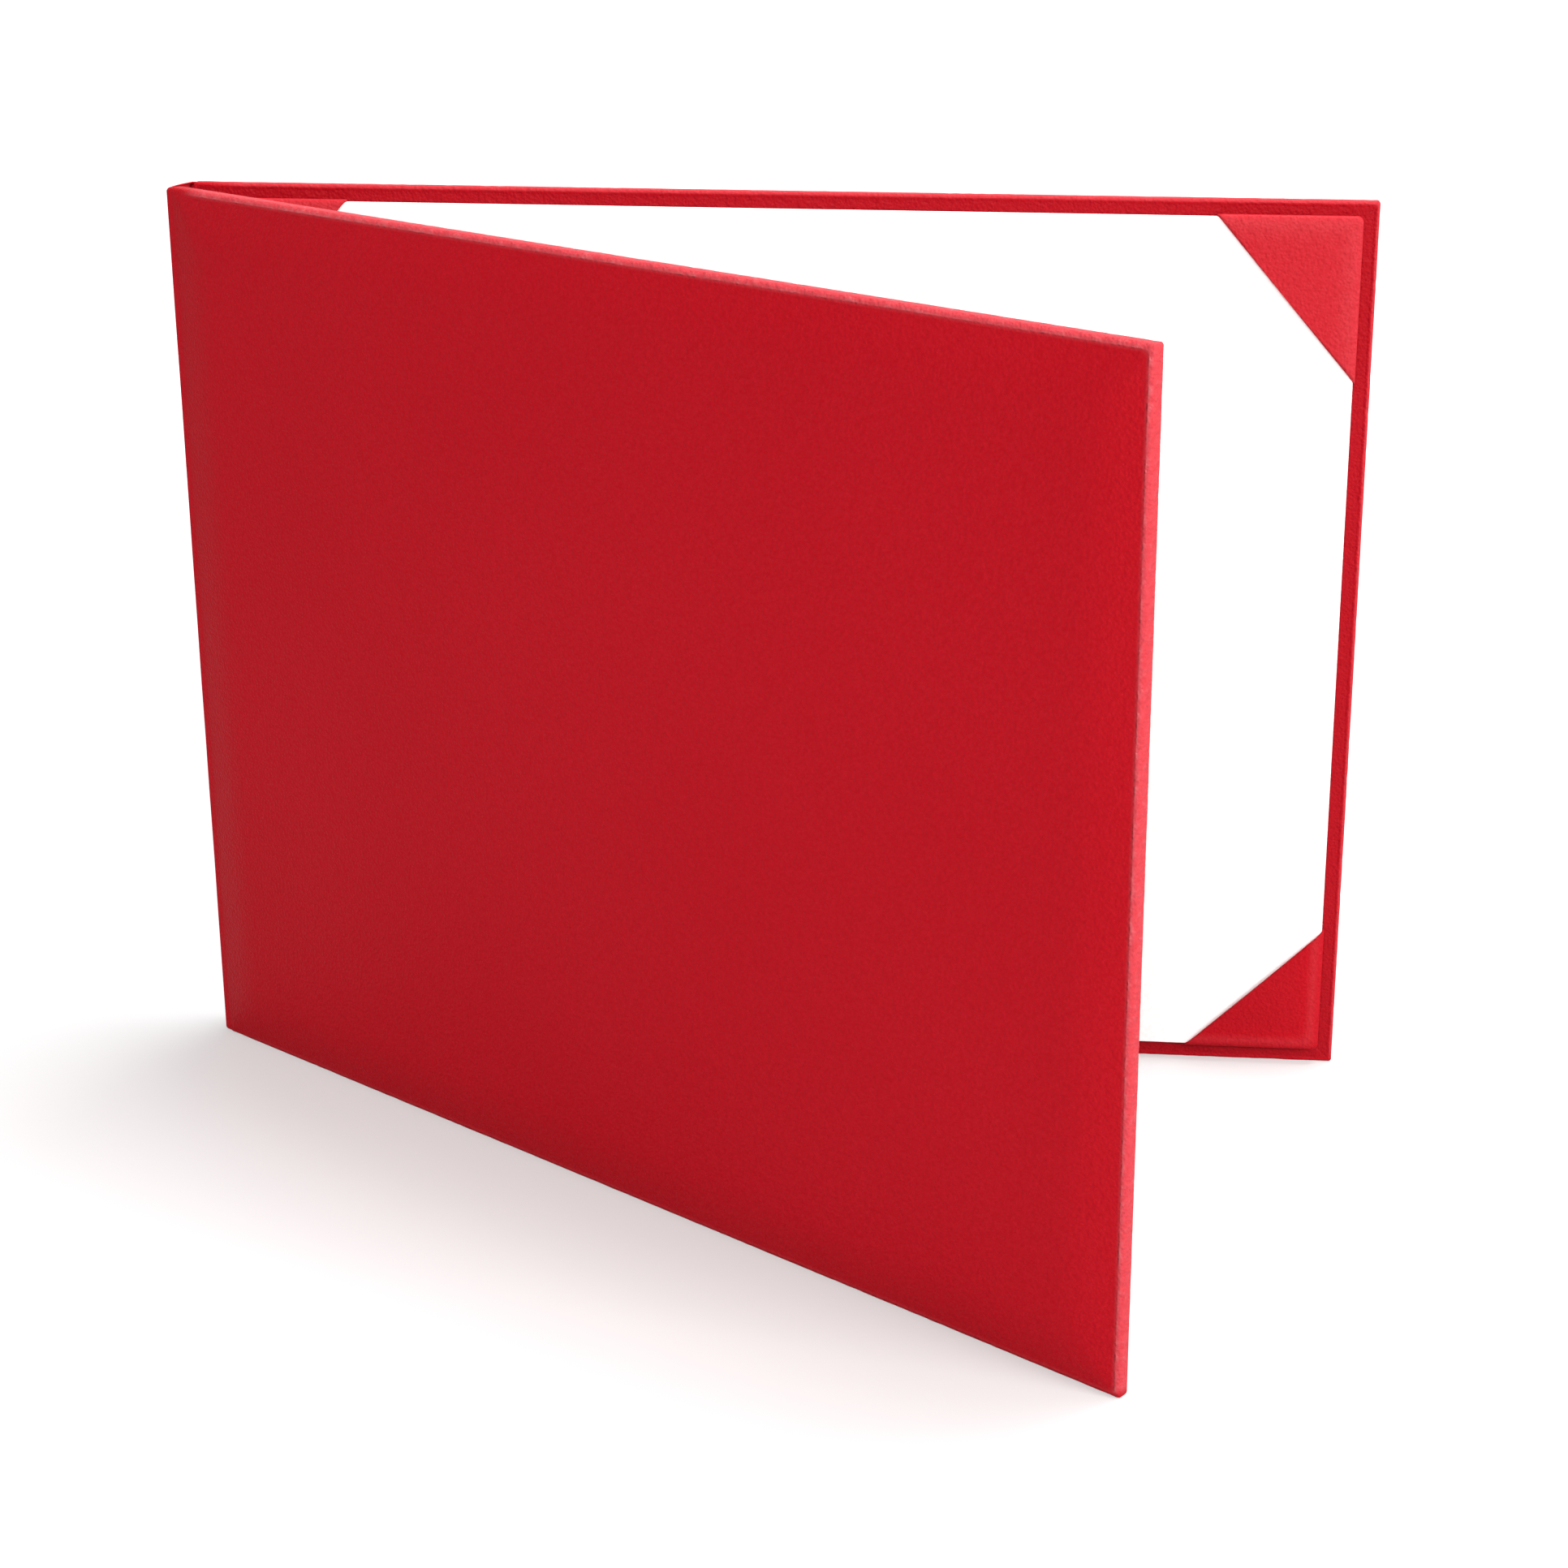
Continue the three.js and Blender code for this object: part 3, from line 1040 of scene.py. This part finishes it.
@dataclass
class CornerPocket:
    """A leatherette triangle folded round one corner of the mounting card.

    Attributes:
        node: The CAD node whose place it takes.
        at_head: Whether it is at the card's head.
        at_hinge: Whether it is beside the hinge.
        painted_light: Painted light on its face and on its fold, a highlight above 0 and painted shade below
            0.
        leather: Thickness of the leatherette.
        front_round: How far in the fold's front reaches, and front_fall how far back.
        back_round: Radius of the fold's back.
        gape: How far the mouth stands open.
        flap: Width of the flap that is glued behind the card.
        corner_radius: Radius of its outer corner, which grows inwards by corner_softening.
        room_share: Share of a row's shorter leg that its corner may take, down to least_radius.
        fold_reach: How many front rounds from the fold its painted light fades to the face's value.
        leg_steps: Steps along each leg, with arc_steps round the corner and round_steps round a fold.
        face_shares: Places of the rows on the pocket's face.
    """

    node: str
    at_head: bool
    at_hinge: bool
    painted_light: Pair
    leather: float = 0.45 * MM
    front_round: float = 2.2 * MM
    front_fall: float = 0.8 * MM
    back_round: float = 0.4 * MM
    gape: float = 0.38 * MM
    flap: float = 8.0 * MM
    corner_radius: float = 1.5 * MM
    corner_softening: float = 0.3
    room_share: float = 0.45
    least_radius: float = 1e-5
    fold_reach: float = 3.0
    leg_steps: int = 26
    arc_steps: int = 6
    round_steps: int = 5
    face_shares: tuple[float, ...] = (0.08, 0.14, 0.22, 0.32, 0.44, 0.57, 0.7, 0.82, 0.92, 0.975)

    def profile(self, depth: float, deepest_inset: float) -> list[Pair]:
        """Inset and depth behind the pocket's front, from the glued flap round to its middle.

        Args:
            depth: Front of the pocket to its back.
            deepest_inset: The inset at which the triangle shrinks to a point.

        Returns:
            The rows' insets and depths.
        """
        turn = quarter_turn(self.round_steps)
        rings = [(self.flap, depth), (self.flap / 2, depth), (2 * self.back_round, depth)]
        rings += [(self.back_round * to_go, depth - self.back_round * gone) for gone, to_go in turn]
        rings += [(self.front_round * gone, self.front_fall * to_go) for gone, to_go in turn]
        for share in self.face_shares:
            inset = self.front_round + (deepest_inset - self.front_round) * share
            rings.append((inset, -self.gape * math.sin(QUARTER * share)))
        return rings

    def ring(self, inset: float, long_leg: float, high_leg: float) -> list[Pair]:
        """One L-shaped row, from the slanted edge into the corner and back out to it.

        Args:
            inset: Distance in from both legs.
            long_leg: Length of the leg along the card's head or tail.
            high_leg: Length of the leg along its side.

        Returns:
            Distances in from the card's side and from its head or tail.
        """
        reach_long = long_leg * (1 - inset / high_leg)
        reach_high = high_leg * (1 - inset / long_leg)
        room = self.room_share * min(reach_long - inset, reach_high - inset)
        radius = max(min(self.corner_radius + self.corner_softening * inset, room), self.least_radius)
        row = []
        for i in range(self.leg_steps):
            share = i / self.leg_steps
            row.append((reach_long + (inset + radius - reach_long) * share, inset))
        for gone, to_go in quarter_turn(self.arc_steps):
            row.append((inset + radius * to_go, inset + radius * gone))
        for i in range(1, self.leg_steps + 1):
            share = i / self.leg_steps
            row.append((inset, inset + radius + (reach_high - inset - radius) * share))
        return row

    def painted_light_at(self, inset: float, depth: float) -> float:
        """The painted light on one row: a highlight at the fold, and on the face the pocket's own value.

        Args:
            inset: The row's inset.
            depth: Its depth behind the pocket's front.

        Returns:
            The painted light, which is 0 behind the fold.
        """
        if depth > self.front_fall:
            return 0.0
        # Painted highlight at the fold; on the face the pocket's least value, which is painted shade on the
        # tail pockets.
        least, most = self.painted_light
        at_fold = max(0.0, 1.0 - abs(inset - self.front_round) / (self.fold_reach * self.front_round))
        return least + (most - least) * at_fold**2

    def build(self, finishes: Finishes) -> None:
        """Makes the pocket where its CAD node lies, and sets it on the back cover.

        Args:
            finishes: The finishes to choose from.
        """
        low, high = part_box(self.node)
        long_leg, high_leg = high.x - low.x, high.z - low.z
        deepest = long_leg * high_leg / (long_leg + high_leg)
        side_x, step_x = (low.x, 1.0) if self.at_hinge else (high.x, -1.0)
        side_z, step_z = (high.z, -1.0) if self.at_head else (low.z, 1.0)
        rows = []
        painted_light = []
        for inset, depth in self.profile(high.y - low.y, deepest):
            row = []
            for across, up in self.ring(inset, long_leg, high_leg):
                row.append(Vector((side_x + step_x * across, low.y + depth, side_z + step_z * up)))
            rows.append(row)
            painted_light += [self.painted_light_at(inset, depth)] * len(row)
        points, faces = skin_rings(rows, closed=False, capped=True)
        piece = link_mesh(self.node.replace("pocket", "leatherette_pocket"), points, faces, painted_light)
        face_towards(piece, Vector((0.0, -1.0, 0.0)))
        thicken(piece, self.leather, -1.0)
        dress(piece, finishes.leatherette)
        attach(piece, Side.BACK.value)
        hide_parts(self.node)
        log.info("%s rides on %s", piece.name, Side.BACK.value)


class CarriedPieces:
    """The CAD nodes that keep their own shape and get a finish."""

    def build(self, finishes: Finishes) -> None:
        """Dresses each node.

        Args:
            finishes: The finishes to choose from.
        """
        chosen = {
            "mount_card": finishes.white_card,
            "front_lining": finishes.lining,
            "spine_lining": finishes.lining,
            "front_board": finishes.greyboard,
            "back_board": finishes.greyboard,
        }
        for name, material in chosen.items():
            dress(frame["nodes"][name], material)
            log.info("%s keeps its shape, in %s", name, material.name)


@dataclass
class PhotoCamera:
    """The photograph's view, as measured from the covers' edges and corners.

    Attributes:
        azimuth: Turn from looking along +Y, in degrees.
        elevation: How far it looks down, in degrees.
        roll: Turn about its own axis, in degrees.
        aim: Point in the plane y = 0 that it looks at.
        distance: Distance to that point.
        focal: Focal length as a share of the image's width.
        shift: Lens shift as a share of the image's width.
        sensor: Width of the sensor in millimetres.
        clip: Nearest and furthest distance that it sees.
    """

    azimuth: float = 4.968
    elevation: float = 18.956
    roll: float = 0.136
    aim: tuple[float, float, float] = (0.03017, 0.0, 0.11906)
    distance: float = 0.6989
    focal: float = 3734.54 / 1932.0
    shift: Pair = (-0.048, -0.036)
    sensor: float = 36.0
    clip: Pair = (0.01, 100.0)

    def build(self) -> None:
        """Sets the scene's camera."""
        turn, tilt, roll = (math.radians(a) for a in (self.azimuth, self.elevation, self.roll))
        back = Vector((math.sin(turn) * math.cos(tilt), -math.cos(turn) * math.cos(tilt), math.sin(tilt)))
        level_right = Vector((math.cos(turn), math.sin(turn), 0.0))
        level_up = back.cross(level_right)
        right = level_right * math.cos(roll) + level_up * math.sin(roll)
        up = level_up * math.cos(roll) - level_right * math.sin(roll)
        lens = bpy.data.cameras.new("photo_camera")
        lens.sensor_width = self.sensor
        lens.lens = self.focal * self.sensor
        lens.shift_x, lens.shift_y = self.shift
        lens.clip_start, lens.clip_end = self.clip
        camera = bpy.data.objects.new("photo_camera", lens)
        place = Matrix((right, up, back)).transposed().to_4x4()
        place.translation = Vector(self.aim) + back * self.distance
        camera.matrix_world = place
        bpy.context.scene.collection.objects.link(camera)
        bpy.context.scene.camera = camera


@dataclass(frozen=True)
class Softbox:
    """A rectangular studio lamp that looks at a point of the cover."""

    name: str
    place: tuple[float, float, float]
    size: Pair
    power: float
    aim: tuple[float, float, float] = (0.0, 0.0, 0.11)

    def build(self) -> None:
        """Adds the lamp."""
        lamp = bpy.data.lights.new(self.name, "AREA")
        lamp.shape = "RECTANGLE"
        lamp.size, lamp.size_y = self.size
        lamp.energy = self.power
        holder = bpy.data.objects.new(self.name, lamp)
        holder.location = self.place
        holder.rotation_euler = (Vector(self.aim) - Vector(self.place)).to_track_quat("-Z", "Y").to_euler()
        bpy.context.scene.collection.objects.link(holder)


@dataclass
class Studio:
    """A white sweep, soft lamps and a pale surround.

    Attributes:
        floor_size: Side of the square floor.
        floor_colour: The floor's own colour, under its glow.
        floor_roughness: Its roughness.
        ambient: Share of the surround's white that lights the cover.
        shadow_reach: Distances from the cover between which the floor brightens to white.
        floor_glow: Brightness that the floor adds near the cover and far from it, where it is seen.
        lamps: The lamps.
    """

    floor_size: float = 40.0
    floor_colour: Colour = (0.5, 0.5, 0.5)
    floor_roughness: float = 0.9
    ambient: float = 0.35
    shadow_reach: Pair = (0.3, 1.1)
    floor_glow: Pair = (0.32, 0.9)
    lamps: tuple[Softbox, ...] = (
        Softbox("fore_edge_lamp", (1.0, -0.5, 0.55), (0.45, 0.5), 10.5),
        Softbox("face_lamp", (0.02, -1.5, 0.95), (0.9, 0.6), 23.0),
        Softbox("top_lamp", (0.25, 0.25, 1.3), (0.8, 0.6), 19.0),
    )

    def floor(self) -> None:
        """Lays the floor, which keeps the cover's shadow and shows as white."""
        half = self.floor_size / 2.0
        signs = ((-1.0, -1.0), (1.0, -1.0), (1.0, 1.0), (-1.0, 1.0))
        corners = [Vector((x * half, y * half, 0.0)) for x, y in signs]
        piece = link_mesh("studio_floor", corners, [(0, 1, 2, 3)])
        sheet = NodeSheet("white_floor")
        surface = sheet.shader.outputs[0]
        sheet.shader.inputs["Base Color"].default_value = (*self.floor_colour, 1.0)
        sheet.shader.inputs["Roughness"].default_value = self.floor_roughness
        distance = sheet.add("ShaderNodeVectorMath")
        distance.operation = "LENGTH"
        sheet.join(sheet.place, distance.inputs[0])
        fade = sheet.spread(distance.outputs["Value"], *self.floor_glow, self.shadow_reach)
        fade.node.interpolation_type = "SMOOTHSTEP"
        glow = sheet.add("ShaderNodeEmission")
        sheet.join(fade, glow.inputs["Strength"])
        both = sheet.add("ShaderNodeAddShader")
        sheet.join(surface, both.inputs[0])
        sheet.join(glow.outputs[0], both.inputs[1])
        pick = sheet.add("ShaderNodeMixShader")
        sheet.join(sheet.add("ShaderNodeLightPath").outputs["Is Camera Ray"], pick.inputs[0])
        sheet.join(surface, pick.inputs[1])
        sheet.join(both.outputs[0], pick.inputs[2])
        sheet.join(pick.outputs[0], sheet.tree.nodes["Material Output"].inputs["Surface"])
        dress(piece, sheet.material)

    def surround(self) -> None:
        """Makes the surround white where it is seen or mirrored, and dimmer where it lights."""
        world = bpy.data.worlds.new("pale_surround")
        bpy.context.scene.world = world
        world.use_nodes = True
        tree = world.node_tree
        background = tree.nodes["Background"]
        background.inputs["Color"].default_value = (1.0, 1.0, 1.0, 1.0)
        path = tree.nodes.new("ShaderNodeLightPath")
        seen = tree.nodes.new("ShaderNodeMath")
        seen.operation = "MAXIMUM"
        tree.links.new(path.outputs["Is Camera Ray"], seen.inputs[0])
        tree.links.new(path.outputs["Is Glossy Ray"], seen.inputs[1])
        strength = tree.nodes.new("ShaderNodeMapRange")
        strength.inputs["To Min"].default_value = self.ambient
        strength.inputs["To Max"].default_value = 1.0
        tree.links.new(seen.outputs[0], strength.inputs["Value"])
        tree.links.new(strength.outputs["Result"], background.inputs["Strength"])

    def build(self) -> None:
        """Sets up the floor, surround and lamps, and the plain view."""
        self.floor()
        self.surround()
        for lamp in self.lamps:
            lamp.build()
        bpy.context.scene.view_settings.view_transform = "Standard"


def main() -> None:
    """Builds the camera, the cover's sub-assemblies in order, and the studio."""
    logging.basicConfig(level=logging.INFO, format="%(name)s: %(message)s")
    PhotoCamera().build()
    finishes = Finishes.mixed()
    planes = cover_planes()
    low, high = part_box("back_wrap")
    foot = planes[Side.BACK].foot
    for plane in planes.values():
        PaddedCover(
            plane=plane,
            width=high.x - foot.x,
            height=high.z - low.z,
            inner=low.y - foot.y,
            crest=high.y - foot.y,
            highlight_most=EDGE_HIGHLIGHT[plane.side],
        ).build(finishes)
    SoftSpine(planes, high.z - low.z).build(finishes)
    for name in ("pocket_head_hinge", "pocket_head_fore", "pocket_tail_hinge", "pocket_tail_fore"):
        at_head = "head" in name
        # Lit head pockets get a painted highlight, shaded tail pockets painted shade.
        painted_light = HEAD_POCKET_HIGHLIGHT if at_head else TAIL_POCKET_SHADE_AND_HIGHLIGHT
        CornerPocket(name, at_head, "hinge" in name, painted_light).build(finishes)
    CarriedPieces().build(finishes)
    Studio().build()


if __name__ == "__main__":
    main()
